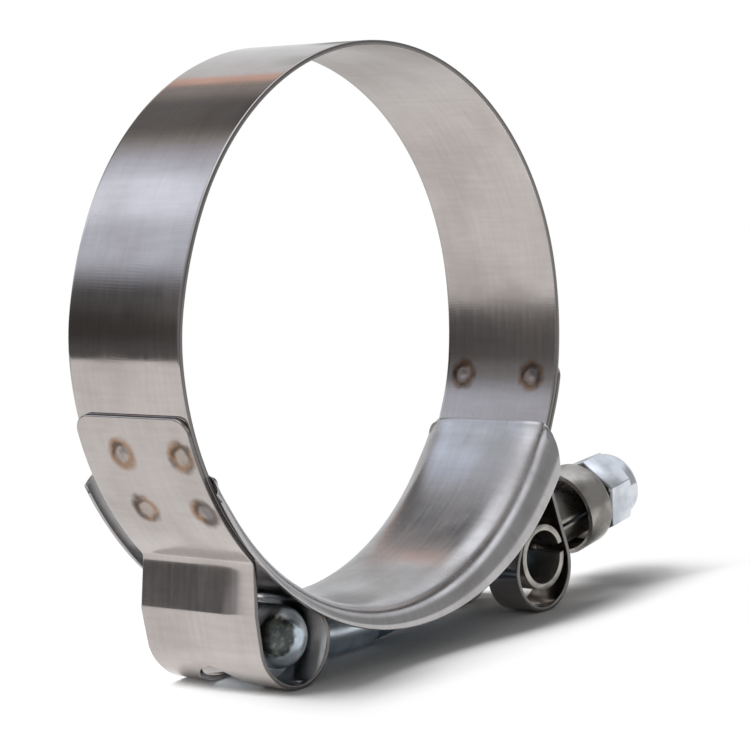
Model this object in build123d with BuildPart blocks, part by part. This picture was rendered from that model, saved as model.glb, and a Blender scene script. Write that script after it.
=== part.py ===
from build123d import *
from math import acos, asin, atan2, cos, degrees, radians, sin, sqrt
import os

os.makedirs("parts", exist_ok=True)

# A T bolt clamp for hose, standing on its two loops. Millimetres, +Z up.
# The origin is the centre of the bore and the bore's axis is Y.
# Angles in the side view are counted from +X towards +Z, in degrees.

# Band: one strip, folded back round a loop at each end
band_width = 19.0
band_t = 0.6
bore_r = 35.0
layer_gap = 0.05  # between the strip and its folded-back end
loop_r = 5.85  # outside of each loop
fold_bend_r = 4.0  # where the folded-back end meets the ring again
left_loop_turn = 28.8  # how far round from the bottom the left loop hangs
right_loop_x = 28.8
right_wall_lean = 17.0  # of the right loop's outer wall, from upright
left_fold_drop = 10.2  # where each folded-back end stops, below the horizontal
right_fold_drop = 11.0
fold_corner_r = 2.2
ease_span = 15.0  # half of the stretch in which the ring steps out over the bridge
left_ease_drop = 1.0  # where that stretch ends on the left, below the horizontal

# Slots that let the bolt through the loops
slot_clear = 0.25
left_slot_top = -5.0
left_slot_bottom = -105.0
right_slot_rise = 3.5  # centre of the slot's round end, above the loop's centre

# Spot welds, two rows of two on each folded-back end
weld_r = 1.5
dimple_depth = 0.16
dimple_ball_r = 8.0
left_weld_drops = (17.8, 30.1)  # below the horizontal
left_weld_y = (2.8, -7.2)
right_weld_drop = 15.8
right_weld_along = 2.9  # second row, along the straight part of the strip
right_weld_y = (6.5, -5.4)

# Bridge: channel inside the band, across its gap
bridge_t = 0.6
bridge_turn = 3.0  # its middle, round from the bottom towards the bolt's head
bridge_half_span = 64.5
bridge_bend_r = 1.5  # inside of the rolled edge
bridge_side_clear = 0.05
flange_height = 4.0  # above the bore's radius
end_slant = 59.5  # how far the ends are cut back from square
seat_gap = 0.05

# Bolt
thread_r = 2.9
neck_step = 0.1  # the neck is left this much larger than the rolled thread
neck_bend_r = 60.0
bolt_slope = 9.5
head_r = 4.0
head_inset = 1.5  # from the band's edges
head_end_fillet = 3.0
head_gap = 0.1  # the head bears on the side of its loop that faces the gap
head_bearing_angle = 5.0
neck_half_height = 3.3  # where it meets the head
neck_flare_angle = 9.0
neck_thread_angle = 6.5  # how much of the bend is down at the thread's size
bolt_end_inset = 0.3
bolt_end_chamfer = 0.7

# Trunnion: barrel in the right loop, with two half tubes along the bolt
barrel_r = 4.4
barrel_seat_gap = 0.32  # to both walls of the loop, which narrow above it
barrel_inset = 0.2  # from the band's edges
barrel_gap = 1.3
sheet_t = 0.8
tube_clear = 0.3
tube_slit = 0.5

# Collar
collar_start = 15.8  # from the barrel's centre, along the bolt
collar_length = 5.3
collar_gap = 1.2  # round the half tubes
collar_wall = 0.7
collar_base_t = 0.9
collar_round = 1.0

# Lock nut
nut_across_flats = 10.0
nut_hex_length = 5.7
nut_crown_length = 2.3
nut_gap = 0.05
nut_hex_turn = 40.0
nut_bore_clear = 0.05
nut_face_step = 0.5  # from the flats to the rim of the face that bears on the collar
nut_chamfer_t = 0.8
nut_crown_step = 0.35
nut_crown_round = 0.9
insert_t = 2.0
insert_depth = 0.5  # from the nut's end to the insert
insert_wall = 1.1
insert_clear = 0.02
insert_lip = 0.5


def unit(angle):
    return Vector(cos(radians(angle)), sin(radians(angle)))


def side(point, y=0.0):
    """The point of the side view, in space."""
    return Vector(point.X, y, point.Y)


# The strip's centre line
half_width = band_width / 2
ring_mid = bore_r + band_t / 2
over_mid = bore_r + bridge_t + seat_gap + band_t / 2
layer_pitch = band_t + layer_gap
outer_mid = over_mid + layer_pitch
loop_mid = loop_r - band_t / 2
ease_shift = (over_mid - ring_mid) / (2 * (1 - cos(radians(ease_span))))
tube_bore_r = thread_r + tube_clear
tube_r = tube_bore_r + sheet_t
slot_width = 2 * (tube_r + slot_clear)

left_loop_angle = 270 - left_loop_turn
left_ease_end = 180 + left_ease_drop
left_loop = unit(left_loop_angle) * (over_mid + loop_mid)
right_loop = Vector(right_loop_x, left_loop.Y)
right_leave = degrees(atan2(right_loop.Y, right_loop.X) + acos((over_mid + loop_mid) / right_loop.length))

# Centres of the bends where the folded-back ends meet the ring again.
# The left loop's outer wall is upright, and the right one's leans out from its strand.
left_wall = Vector(-1, 0)
up = Vector(left_wall.Y, -left_wall.X)
start = left_loop + left_wall * (loop_mid + fold_bend_r)
along = start.dot(up)
rise = -along - sqrt(along**2 - start.length**2 + (outer_mid + fold_bend_r) ** 2)
left_bend = start + up * rise
left_bend_angle = degrees(atan2(left_bend.Y, left_bend.X)) % 360

right_wall = unit(right_wall_lean)
up = Vector(-right_wall.Y, right_wall.X)
strand = unit(right_leave)
start = right_loop + right_wall * (loop_mid + fold_bend_r)
rise = (outer_mid + fold_bend_r - start.dot(strand)) / up.dot(strand)
right_bend = start + up * rise

right_tight = unit(right_leave) * ease_shift
right_flat = unit(right_leave + 2 * ease_span) * -ease_shift
left_flat = unit(left_ease_end - 2 * ease_span) * -ease_shift
left_tight = unit(left_ease_end) * ease_shift
tight_r = over_mid - ease_shift
flat_r = ring_mid + ease_shift


def weld_planes():
    """Where each spot weld is, on the outer face of the folded-back ends."""
    outer_r = outer_mid + band_t / 2
    for drop in left_weld_drops:
        normal = unit(180 + drop)
        for y in left_weld_y:
            yield Plane(side(normal * outer_r, y), z_dir=side(normal))
    down = Vector(strand.Y, -strand.X)
    for y in right_weld_y:
        normal = unit(-right_weld_drop)
        face = right_tight + normal * (tight_r + layer_pitch + band_t / 2)
        yield Plane(side(face, y), z_dir=side(normal))
        yield Plane(side(strand * outer_r + down * right_weld_along, y), z_dir=side(strand))


with BuildPart() as band:
    with BuildSketch(Plane.XZ):
        with BuildLine():
            CenterArc(right_tight, tight_r + layer_pitch, -right_fold_drop, right_leave + right_fold_drop)
            Line(strand * outer_mid, right_bend - strand * fold_bend_r)
            CenterArc(right_bend, fold_bend_r, right_leave + 180, right_wall_lean - right_leave)
            Line(right_bend - right_wall * fold_bend_r, right_loop + right_wall * loop_mid)
            CenterArc(right_loop, loop_mid, right_wall_lean, right_leave - 180 - right_wall_lean)
            Line(right_loop - strand * loop_mid, strand * over_mid)
            CenterArc(right_tight, tight_r, right_leave, ease_span)
            CenterArc(right_flat, flat_r, right_leave + ease_span, ease_span)
            CenterArc(
                (0, 0),
                ring_mid,
                right_leave + 2 * ease_span,
                left_ease_end - 4 * ease_span - right_leave,
            )
            CenterArc(left_flat, flat_r, left_ease_end - 2 * ease_span, ease_span)
            CenterArc(left_tight, tight_r, left_ease_end - ease_span, ease_span)
            CenterArc((0, 0), over_mid, left_ease_end, left_loop_angle - left_ease_end)
            CenterArc(left_loop, loop_mid, left_loop_angle - 180, -left_loop_angle)
            Line(left_loop + left_wall * loop_mid, left_bend - left_wall * fold_bend_r)
            CenterArc(left_bend, fold_bend_r, 0, left_bend_angle - 180)
            CenterArc((0, 0), outer_mid, left_bend_angle, 180 + left_fold_drop - left_bend_angle)
        trace(line_width=band_t)
    extrude(amount=half_width, both=True)

    # The corners of the two folded-back ends are rounded
    left_end = unit(180 + left_fold_drop) * outer_mid
    right_end = right_tight + unit(-right_fold_drop) * (tight_r + layer_pitch)
    for end in (left_end, right_end):
        for y in (-half_width, half_width):
            corner = band.edges().sort_by_distance(side(end, y))[0]
            fillet(corner, radius=fold_corner_r)

    # Slot round the bottom of the left loop, with a round end at each side
    with BuildSketch(Plane.XZ):
        with BuildLine():
            reach = loop_r + band_t
            Line(left_loop, left_loop + unit(left_slot_top) * reach)
            CenterArc(left_loop, reach, left_slot_top, left_slot_bottom - left_slot_top)
            Line(left_loop + unit(left_slot_bottom) * reach, left_loop)
        make_face()
    extrude(amount=slot_width / 2, both=True, mode=Mode.SUBTRACT)
    for angle in (left_slot_top, left_slot_bottom):
        with BuildSketch(Plane(side(left_loop), z_dir=side(unit(angle)))):
            Circle(slot_width / 2)
        extrude(amount=reach, mode=Mode.SUBTRACT)

    # Slot round the bottom of the right loop, which takes the bolt and the half tubes
    slot_rise = loop_r + right_slot_rise + slot_width / 2
    with BuildSketch(Plane.YZ.offset(right_loop.X)):
        with Locations((0, right_loop.Y + right_slot_rise + slot_width / 2 - slot_rise)):
            SlotOverall(2 * slot_rise, slot_width, rotation=90)
    extrude(amount=2 * loop_r, both=True, mode=Mode.SUBTRACT)

    # Spot welds: the nugget between the layers and the electrode's dimple
    for plane in weld_planes():
        with Locations(plane.offset(-band_t - layer_gap / 2)):
            Cylinder(weld_r, layer_pitch)
        with Locations(plane.offset(dimple_ball_r - dimple_depth)):
            Sphere(dimple_ball_r, rotation=(90, 0, 0), mode=Mode.SUBTRACT)

band.part.label = "band"
export_step(band.part, "parts/band.step")


bridge_half_width = half_width + bridge_side_clear + bridge_bend_r + bridge_t
bridge_mid_half = bridge_half_width - bridge_t / 2
bridge_mid_r = bore_r + bridge_t / 2
bridge_angle = -90 - bridge_turn
blank_half_span = bridge_half_span + end_slant / 4

with BuildPart() as bridge:
    with BuildSketch(Plane.XY.rotated((0, -bridge_angle - blank_half_span, 0))):
        with BuildLine():
            FilletPolyline(
                (bore_r + flange_height, bridge_mid_half),
                (bridge_mid_r, bridge_mid_half),
                (bridge_mid_r, -bridge_mid_half),
                (bore_r + flange_height, -bridge_mid_half),
                radius=bridge_bend_r + bridge_t / 2,
            )
        trace(line_width=bridge_t)
    revolve(axis=Axis.Y, revolution_arc=2 * blank_half_span)

    # The ends are cut back at a slant
    right_tip = unit(bridge_angle + bridge_half_span) * bore_r
    left_tip = unit(bridge_angle - bridge_half_span) * bore_r
    with BuildSketch(Plane.XZ):
        with BuildLine():
            Polyline(
                (0, 0),
                right_tip,
                right_tip + unit(bridge_angle + bridge_half_span - end_slant) * bore_r,
                left_tip + unit(bridge_angle - bridge_half_span + end_slant) * bore_r,
                left_tip,
                close=True,
            )
        make_face()
    extrude(amount=2 * bridge_half_width, both=True, mode=Mode.INTERSECT)

bridge.part.label = "bridge"
export_step(bridge.part, "parts/bridge.step")


# Bolt: its straight part runs through the barrel, which is drawn up between its loop's walls
barrel_play = loop_r - band_t - barrel_r - barrel_seat_gap
barrel = right_loop + (right_wall - strand) * (barrel_play / (1 - right_wall.dot(strand)))
bolt_way = unit(bolt_slope)
bolt_up = unit(bolt_slope + 90)
bolt_axis = Axis(side(barrel), side(bolt_way))
head = left_loop + unit(head_bearing_angle) * (loop_r - band_t - head_r - head_gap)
head_up = (head - barrel).dot(bolt_up)
head_back = (head - barrel).dot(bolt_way)
bend_start = head_back + sqrt(2 * neck_bend_r * head_up - head_up**2)
bend_centre = barrel + bolt_way * bend_start + bolt_up * neck_bend_r
bend_angle = degrees(asin((bend_start - head_back) / neck_bend_r))
bend_axis = Axis(side(bend_centre), (0, 1, 0))
flare_start = bend_angle - neck_flare_angle
neck_r = thread_r + neck_step
head_length = band_width - 2 * head_inset

nut_start = collar_start + collar_length + nut_gap
nut_length = nut_hex_length + nut_crown_length
bolt_end = nut_start + nut_length - bolt_end_inset


def across_bolt(distance):
    """Plane square to the bolt's straight part, this far from the barrel's centre."""
    return Plane(side(barrel + bolt_way * distance), x_dir=(0, 1, 0), z_dir=side(bolt_way))


def along_bolt(distance):
    """Plane through the bolt's axis: x runs along the bolt and y away from its axis."""
    return Plane(side(barrel + bolt_way * distance), x_dir=side(bolt_way), z_dir=(0, -1, 0))


def across_neck(angle):
    """Plane square to the neck, this far round its bend from the straight part."""
    spoke = unit(bolt_slope - 90 - angle)
    return Plane(side(bend_centre + spoke * neck_bend_r), x_dir=(0, 1, 0), z_dir=side(unit(bolt_slope - angle)))


with BuildPart() as t_bolt:
    with BuildSketch(across_bolt(bend_start)):
        Circle(thread_r)
    extrude(amount=bolt_end - bend_start)
    chamfer(t_bolt.faces().sort_by(bolt_axis)[-1].edges(), bolt_end_chamfer)

    with BuildSketch(across_bolt(bend_start)):
        Circle(thread_r)
    revolve(axis=bend_axis, revolution_arc=neck_thread_angle)
    with BuildSketch(across_neck(neck_thread_angle)):
        Circle(neck_r)
    revolve(axis=bend_axis, revolution_arc=flare_start - neck_thread_angle)

    # The neck widens into the head
    with BuildSketch(across_neck(flare_start)):
        Circle(neck_r)
    with BuildSketch(across_neck(bend_angle)):
        Ellipse(slot_width / 2 - slot_clear, neck_half_height)
    loft()

    # Cross bar with domed ends
    with BuildSketch(Plane.XZ):
        with Locations(head):
            Circle(head_r)
    extrude(amount=head_length / 2, both=True)
    bar_ends = t_bolt.faces().filter_by(Axis.Y).edges().filter_by(GeomType.CIRCLE)
    fillet(bar_ends, radius=head_end_fillet)

t_bolt.part.label = "t_bolt"
export_step(t_bolt.part, "parts/t_bolt.step")


barrel_length = band_width - 2 * barrel_inset
tube_end = collar_start + collar_length - collar_base_t

with BuildPart() as trunnion:
    with BuildSketch(across_bolt(0)):
        Circle(tube_r)
        Circle(tube_bore_r, mode=Mode.SUBTRACT)
    extrude(amount=tube_end)
    with BuildSketch(Plane.XZ):
        with Locations(barrel):
            Circle(barrel_r)
    extrude(amount=barrel_length / 2, both=True)
    with BuildSketch(Plane.XZ):
        with Locations(barrel):
            Circle(barrel_r - sheet_t)
    extrude(amount=barrel_length / 2, both=True, mode=Mode.SUBTRACT)

    # The bolt's way through, the barrel's gap and the slits between the half tubes
    with BuildSketch(across_bolt(-2 * barrel_r)):
        Circle(tube_bore_r)
    extrude(amount=2 * barrel_r + tube_end, mode=Mode.SUBTRACT)
    with BuildSketch(across_bolt(0)):
        Rectangle(barrel_length, barrel_gap)
    extrude(amount=barrel_r, mode=Mode.SUBTRACT)
    with BuildSketch(across_bolt(0)):
        Rectangle(barrel_length, tube_slit)
    extrude(amount=tube_end, mode=Mode.SUBTRACT)

trunnion.part.label = "trunnion"
export_step(trunnion.part, "parts/trunnion.step")


collar_r = tube_r + collar_gap + collar_wall

with BuildPart() as collar:
    with BuildSketch(along_bolt(collar_start)):
        with BuildLine():
            Polyline(
                (0, collar_r - collar_wall),
                (0, collar_r),
                (collar_length, collar_r),
                (collar_length, tube_bore_r),
                (collar_length - collar_base_t, tube_bore_r),
                (collar_length - collar_base_t, collar_r - collar_wall),
                close=True,
            )
        make_face()
        fillet(vertices().sort_by_distance((collar_length, collar_r))[0], radius=collar_round)
    revolve(axis=bolt_axis)

collar.part.label = "collar"
export_step(collar.part, "parts/collar.step")


nut_bore_r = thread_r + nut_bore_clear
nut_corner_r = nut_across_flats / 2 / cos(radians(30))
nut_crown_r = nut_across_flats / 2 - nut_crown_step
insert_start = nut_start + nut_length - insert_depth - insert_t
insert_r = thread_r + insert_wall

with BuildPart() as lock_nut:
    with BuildSketch(along_bolt(nut_start)):
        with BuildLine():
            Polyline(
                (0, 0),
                (0, nut_across_flats / 2 - nut_face_step),
                (nut_chamfer_t, nut_corner_r),
                (nut_hex_length - nut_chamfer_t, nut_corner_r),
                (nut_hex_length, nut_crown_r),
                (nut_length, nut_crown_r),
                (nut_length, 0),
                close=True,
            )
        make_face()
        fillet(vertices().sort_by_distance((nut_length, nut_crown_r))[0], radius=nut_crown_round)
    revolve(axis=bolt_axis)
    with BuildSketch(across_bolt(nut_start)):
        RegularPolygon(nut_across_flats / 2, 6, major_radius=False, rotation=nut_hex_turn)
    extrude(amount=nut_length, mode=Mode.INTERSECT)

    # Bore, with the pocket that holds the insert
    with BuildSketch(across_bolt(nut_start)):
        Circle(nut_bore_r)
    extrude(amount=nut_length, mode=Mode.SUBTRACT)
    with BuildSketch(across_bolt(insert_start)):
        Circle(insert_r)
    extrude(amount=insert_t, mode=Mode.SUBTRACT)
    with BuildSketch(across_bolt(insert_start + insert_t)):
        Circle(insert_r - insert_lip)
    extrude(amount=insert_depth, mode=Mode.SUBTRACT)

lock_nut.part.label = "lock_nut"
export_step(lock_nut.part, "parts/lock_nut.step")


with BuildPart() as nylon_insert:
    with BuildSketch(across_bolt(insert_start)):
        Circle(insert_r)
        Circle(thread_r + insert_clear, mode=Mode.SUBTRACT)
    extrude(amount=insert_t)

nylon_insert.part.label = "nylon_insert"
export_step(nylon_insert.part, "parts/nylon_insert.step")
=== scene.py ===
import math

import bmesh
import bpy
import numpy as np
from mathutils import Matrix, Vector


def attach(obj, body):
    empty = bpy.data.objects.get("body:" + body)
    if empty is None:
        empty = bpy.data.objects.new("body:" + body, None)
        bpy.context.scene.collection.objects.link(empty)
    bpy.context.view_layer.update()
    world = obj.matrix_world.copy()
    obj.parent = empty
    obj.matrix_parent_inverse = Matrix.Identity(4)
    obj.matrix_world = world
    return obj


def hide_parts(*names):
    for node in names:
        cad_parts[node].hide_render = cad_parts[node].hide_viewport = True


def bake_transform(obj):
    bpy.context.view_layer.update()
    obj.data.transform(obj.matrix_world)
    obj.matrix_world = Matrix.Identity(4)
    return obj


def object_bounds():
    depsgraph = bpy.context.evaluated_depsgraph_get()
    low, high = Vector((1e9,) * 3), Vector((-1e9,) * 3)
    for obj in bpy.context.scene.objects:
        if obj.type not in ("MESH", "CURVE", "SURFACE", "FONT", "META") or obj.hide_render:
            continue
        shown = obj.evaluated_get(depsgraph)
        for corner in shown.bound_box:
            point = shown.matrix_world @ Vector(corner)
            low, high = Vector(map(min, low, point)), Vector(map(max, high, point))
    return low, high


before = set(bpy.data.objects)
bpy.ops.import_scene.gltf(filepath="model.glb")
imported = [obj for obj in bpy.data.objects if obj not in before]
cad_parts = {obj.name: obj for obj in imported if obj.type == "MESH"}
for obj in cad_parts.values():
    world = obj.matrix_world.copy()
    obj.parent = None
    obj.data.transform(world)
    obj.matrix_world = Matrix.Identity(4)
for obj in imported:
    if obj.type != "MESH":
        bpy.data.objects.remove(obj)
cadBox = [list(corner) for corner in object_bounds()]
mm = 0.001
print("frame loaded")


# Shapes in the side view are pairs of x and z, and angles go from +X towards +Z, in degrees
def unit(angle):
    return np.array([math.cos(math.radians(angle)), math.sin(math.radians(angle))])


def angleOf(point):
    return math.degrees(math.atan2(point[1], point[0]))


def smoothStep(share):  # for shares from 0 to 1
    return share * share * (3 - 2 * share)


def arc(centre, radius, start, sweep):
    shape = {"centre": np.array(centre, float), "radius": radius, "start": start, "sweep": sweep}
    return shape | {"length": radius * math.radians(abs(sweep))}


def straight(a, b):
    a, b = np.array(a, float), np.array(b, float)
    return {"a": a, "b": b, "length": float(np.linalg.norm(b - a))}


def walk(stretch, distance):  # the point and the way on, this far along a stretch
    if "radius" in stretch:
        turn = math.copysign(1, stretch["sweep"])
        spoke = unit(stretch["start"] + turn * math.degrees(distance / stretch["radius"]))
        return stretch["centre"] + spoke * stretch["radius"], np.array([-spoke[1], spoke[0]]) * turn
    way = (stretch["b"] - stretch["a"]) / stretch["length"]
    return stretch["a"] + way * distance, way


def roundedHalf(depth, halfThickness, edgeRound):  # half the sheet's thickness, this far in from its edge
    inside = np.clip(depth, 0, edgeRound)
    return halfThickness - edgeRound + np.sqrt(np.maximum(edgeRound**2 - (edgeRound - inside) ** 2, 0))


def roundSteps(radius, angles):  # distances from an edge that follow its rounding
    return [radius * (1 - math.cos(math.radians(a))) for a in angles]


# Meshes
backShift = 0.5  # how far along the UV map the pattern of a sheet's other face lies
edgeAngles = (0, 30, 60, 90)
joinWithin = {
    "shell": 0.0005 * mm,
    "shellSliver": 0.0002 * mm,
    "solid": 0.001 * mm,
    "solidSliver": 0.0005 * mm,
}
flatWithin = 0.5  # degrees between a solid's facets that count as one face


def newPiece(name, mesh, material):
    piece = bpy.data.objects.new(name, mesh)
    bpy.context.scene.collection.objects.link(piece)
    mesh.materials.clear()
    mesh.materials.append(material)
    return piece


def smoothMesh(mesh, sharpAngle):
    mesh.shade_smooth()
    mesh.set_sharp_from_angle(angle=math.radians(sharpAngle))
    mesh.update()


def joinDoubles(work, within, sliver):
    bmesh.ops.remove_doubles(work, verts=work.verts, dist=within)
    bmesh.ops.dissolve_degenerate(work, edges=work.edges, dist=sliver)


def finishMesh(work, mesh, sharpAngle, turnOut=True):
    if turnOut:
        bmesh.ops.recalc_face_normals(work, faces=work.faces)
    work.to_mesh(mesh)
    work.free()
    smoothMesh(mesh, sharpAngle)
    return mesh


def sheetShell(faceA, faceB, places, innerWall):
    # Two faces of a sheet and the walls between them: arrays of rows by columns by 3.
    # innerWall says for each row whether its last column is an open edge.
    rows, columns = faceA.shape[:2]
    points = np.concatenate([faceA.reshape(-1, 3), faceB.reshape(-1, 3)])
    a = np.arange(rows * columns).reshape(rows, columns)
    b = a + rows * columns
    quads = []
    for r in range(rows - 1):
        for c in range(columns - 1):
            quads.append((a[r, c], a[r, c + 1], a[r + 1, c + 1], a[r + 1, c]))
            quads.append((b[r, c], b[r + 1, c], b[r + 1, c + 1], b[r, c + 1]))
        quads.append((a[r, 0], a[r + 1, 0], b[r + 1, 0], b[r, 0]))
        if innerWall[r] or innerWall[r + 1]:
            quads.append((a[r, -1], b[r, -1], b[r + 1, -1], a[r + 1, -1]))
    for r in (0, rows - 1):
        for c in range(columns - 1):
            quads.append((a[r, c], b[r, c], b[r, c + 1], a[r, c + 1]))
    flat = places.reshape(-1, 2)
    return points, quads, np.concatenate([flat, flat + [backShift, 0]])


def shellMesh(name, shells, sharpAngle):
    # Joins shells made by sheetShell into one closed mesh, with each point's place on the sheet as its UV
    points, quads, sides, shift = [], [], [], 0
    for shellPoints, shellQuads, shellSides in shells:
        points.append(shellPoints)
        sides.append(shellSides)
        quads.extend(tuple(int(i) + shift for i in quad) for quad in shellQuads)
        shift += len(shellPoints)
    mesh = bpy.data.meshes.new(name)
    mesh.from_pydata(np.concatenate(points).tolist(), [], quads)
    layer = mesh.uv_layers.new(name="sheet")
    corners = np.zeros(len(mesh.loops), np.int32)
    mesh.loops.foreach_get("vertex_index", corners)
    layer.data.foreach_set("uv", np.concatenate(sides)[corners].astype(np.float32).ravel())
    work = bmesh.new()
    work.from_mesh(mesh)
    joinDoubles(work, joinWithin["shell"], joinWithin["shellSliver"])
    return finishMesh(work, mesh, sharpAngle)


def applied(piece):  # the piece's mesh with its modifiers in it, and none left on the piece
    mesh = bpy.data.meshes.new_from_object(piece.evaluated_get(bpy.context.evaluated_depsgraph_get()))
    piece.modifiers.clear()
    piece.data = mesh
    return piece


def mergedCopy(node):  # a CAD node's mesh as one closed surface
    work = bmesh.new()
    work.from_mesh(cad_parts[node].data)
    joinDoubles(work, joinWithin["solid"], joinWithin["solidSliver"])
    return work


def bevelledCopy(node, name, material, edgeRound, edgeAngle):
    work = mergedCopy(node)
    bmesh.ops.dissolve_limit(work, angle_limit=math.radians(flatWithin), verts=work.verts, edges=work.edges)
    mesh = finishMesh(work, bpy.data.meshes.new(name), edgeAngle, turnOut=False)
    piece = newPiece(name, mesh, material)
    bevel = piece.modifiers.new("softEdges", "BEVEL")
    bevel.width = edgeRound
    bevel.segments = 2
    bevel.limit_method = "ANGLE"
    bevel.angle_limit = math.radians(edgeAngle)
    bevel.use_clamp_overlap = True
    applied(piece)
    smoothMesh(piece.data, edgeAngle)
    return piece


# Nodes
def place(tree, kind, inputs=None, **settings):
    node = tree.nodes.new(kind)
    for key, value in settings.items():
        setattr(node, key, value)
    for key, value in (inputs or {}).items():
        if isinstance(value, bpy.types.NodeSocket):
            tree.links.new(value, node.inputs[key])
        else:
            node.inputs[key].default_value = value
    return node


def calc(tree, operation, *values, clamp=False):
    node = place(tree, "ShaderNodeMath", dict(enumerate(values)), operation=operation, use_clamp=clamp)
    return node.outputs[0]


def addShare(tree, base, value, share, middle=0.0):  # base plus a share of the value, counted from its middle
    if middle:
        value = calc(tree, "SUBTRACT", value, middle)
    return calc(tree, "MULTIPLY_ADD", value, share, base)


def vectorCalc(tree, operation, a, b):
    outputs = place(tree, "ShaderNodeVectorMath", {0: a, 1: b}, operation=operation).outputs
    return outputs["Value" if operation in ("DISTANCE", "DOT_PRODUCT") else "Vector"]


def counted(tree, vector, size):  # the vector in steps of this size
    inputs = {0: vector, 3: calc(tree, "DIVIDE", 1.0, size)}
    return place(tree, "ShaderNodeVectorMath", inputs, operation="SCALE").outputs["Vector"]


def rescale(tree, value, low, high, newLow=0.0, newHigh=1.0, kind="SMOOTHSTEP"):
    inputs = {0: value, 1: low, 2: high, 3: newLow, 4: newHigh}
    return place(tree, "ShaderNodeMapRange", inputs, interpolation_type=kind).outputs[0]


def between(tree, value, rise, fall):  # goes up to 1 over the first range and down again over the second
    return calc(tree, "MULTIPLY", rescale(tree, value, *rise), rescale(tree, value, *fall, 1.0, 0.0))


def noise(tree, where, scale, detail):
    return place(tree, "ShaderNodeTexNoise", {"Vector": where, "Scale": scale, "Detail": detail}).outputs[0]


def mixColour(tree, factor, a, b, blend="MIX"):
    node = place(tree, "ShaderNodeMix", data_type="RGBA", blend_type=blend)
    for index, value in ((0, factor), (6, a), (7, b)):
        if isinstance(value, bpy.types.NodeSocket):
            tree.links.new(value, node.inputs[index])
        else:
            node.inputs[index].default_value = value if index == 0 else (*value, 1)
    return node.outputs[2]


def shaderGroup(name, inputs, outputs):
    group = bpy.data.node_groups.new(name, "ShaderNodeTree")
    for socketName, kind, default in inputs:
        socket = group.interface.new_socket(name=socketName, in_out="INPUT", socket_type=kind)
        if default is not None:
            socket.default_value = default
    for socketName in outputs:
        group.interface.new_socket(name=socketName, in_out="OUTPUT", socket_type="NodeSocketFloat")
    return group, group.nodes.new("NodeGroupInput").outputs, group.nodes.new("NodeGroupOutput")


def useGroup(tree, group, inputs):
    return place(tree, "ShaderNodeGroup", inputs, node_tree=group).outputs


def emptyMaterial(name):
    material = bpy.data.materials.new(name)
    material.use_nodes = True
    material.node_tree.nodes.clear()
    return material, material.node_tree


def showShader(tree, shader, kind="ShaderNodeOutputMaterial"):
    tree.links.new(shader.outputs[0], tree.nodes.new(kind).inputs[0])


def metalMaterial(name):
    material, tree = emptyMaterial(name)
    shader = tree.nodes.new("ShaderNodeBsdfPrincipled")
    showShader(tree, shader)
    return material, tree, shader


def dressShader(tree, shader, colour, rough, height, look):
    bump = place(tree, "ShaderNodeBump", {"Height": height, "Strength": 1.0, "Distance": look["height"]})
    for socketName, value in (("Base Color", colour), ("Roughness", rough), ("Normal", bump.outputs[0])):
        tree.links.new(value, shader.inputs[socketName])
    shader.inputs["Metallic"].default_value = look["metallic"]


# Fine lines that run one way, as the rolls and brushes leave them
def makeLinesGroup():
    tree, given, out = shaderGroup(
        "brushedLines",
        [("Vector", "NodeSocketVector", None), ("Scale", "NodeSocketVector", (100, 3000, 100)),
         ("Detail", "NodeSocketFloat", 3)],
        ["Value"],
    )
    stretched = vectorCalc(tree, "MULTIPLY", given["Vector"], given["Scale"])
    tree.links.new(noise(tree, stretched, 1.0, given["Detail"]), out.inputs["Value"])
    return tree


def fineLines(tree, where, scale, detail):
    return useGroup(tree, brushedLines, {"Vector": where, "Scale": scale, "Detail": detail})["Value"]


# Patches of curved fine lines, as from rubbing by hand
rubShape = {
    "patchMask": (0.45, 0.62),
    "waveLength": 0.314,  # of a ring wave at scale 1
    "distortion": 9.0,
    "detailScale": 0.12,
}


def makeRubsGroup():
    tree, given, out = shaderGroup(
        "rubbedArcs",
        [("Vector", "NodeSocketVector", None), ("Spacing", "NodeSocketFloat", 0.4 * mm),
         ("Patch", "NodeSocketFloat", 7 * mm)],
        ["Value"],
    )
    patches = noise(tree, counted(tree, given["Vector"], given["Patch"]), 1.0, 1.0)
    mask = rescale(tree, patches, *rubShape["patchMask"])
    spacing = calc(tree, "DIVIDE", given["Spacing"], rubShape["waveLength"])
    lines = place(
        tree, "ShaderNodeTexWave",
        {"Vector": counted(tree, given["Vector"], spacing), "Scale": 1.0, "Detail": 1.0,
         "Distortion": rubShape["distortion"], "Detail Scale": rubShape["detailScale"]},
        wave_type="RINGS", rings_direction="SPHERICAL",
    )
    centred = calc(tree, "SUBTRACT", lines.outputs[1], 0.5)
    tree.links.new(calc(tree, "MULTIPLY", centred, mask), out.inputs["Value"])
    return tree


# Small dark pits and specks, scattered thinly
def makeSpecksGroup():
    tree, given, out = shaderGroup(
        "specks",
        [("Vector", "NodeSocketVector", None), ("Cell", "NodeSocketFloat", 2.5 * mm),
         ("Size", "NodeSocketFloat", 0.06), ("Share", "NodeSocketFloat", 0.3)],
        ["Mask"],
    )
    cellPlace = counted(tree, given["Vector"], given["Cell"])
    cells = place(tree, "ShaderNodeTexVoronoi", {"Vector": cellPlace, "Scale": 1.0})
    draw = place(tree, "ShaderNodeSeparateColor", {0: cells.outputs["Color"]}).outputs[0]
    chosen = calc(tree, "LESS_THAN", draw, given["Share"])
    near = rescale(tree, cells.outputs["Distance"], 0.0, given["Size"], 1.0, 0.0)
    tree.links.new(calc(tree, "MULTIPLY", near, chosen), out.inputs["Mask"])
    return tree


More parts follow.
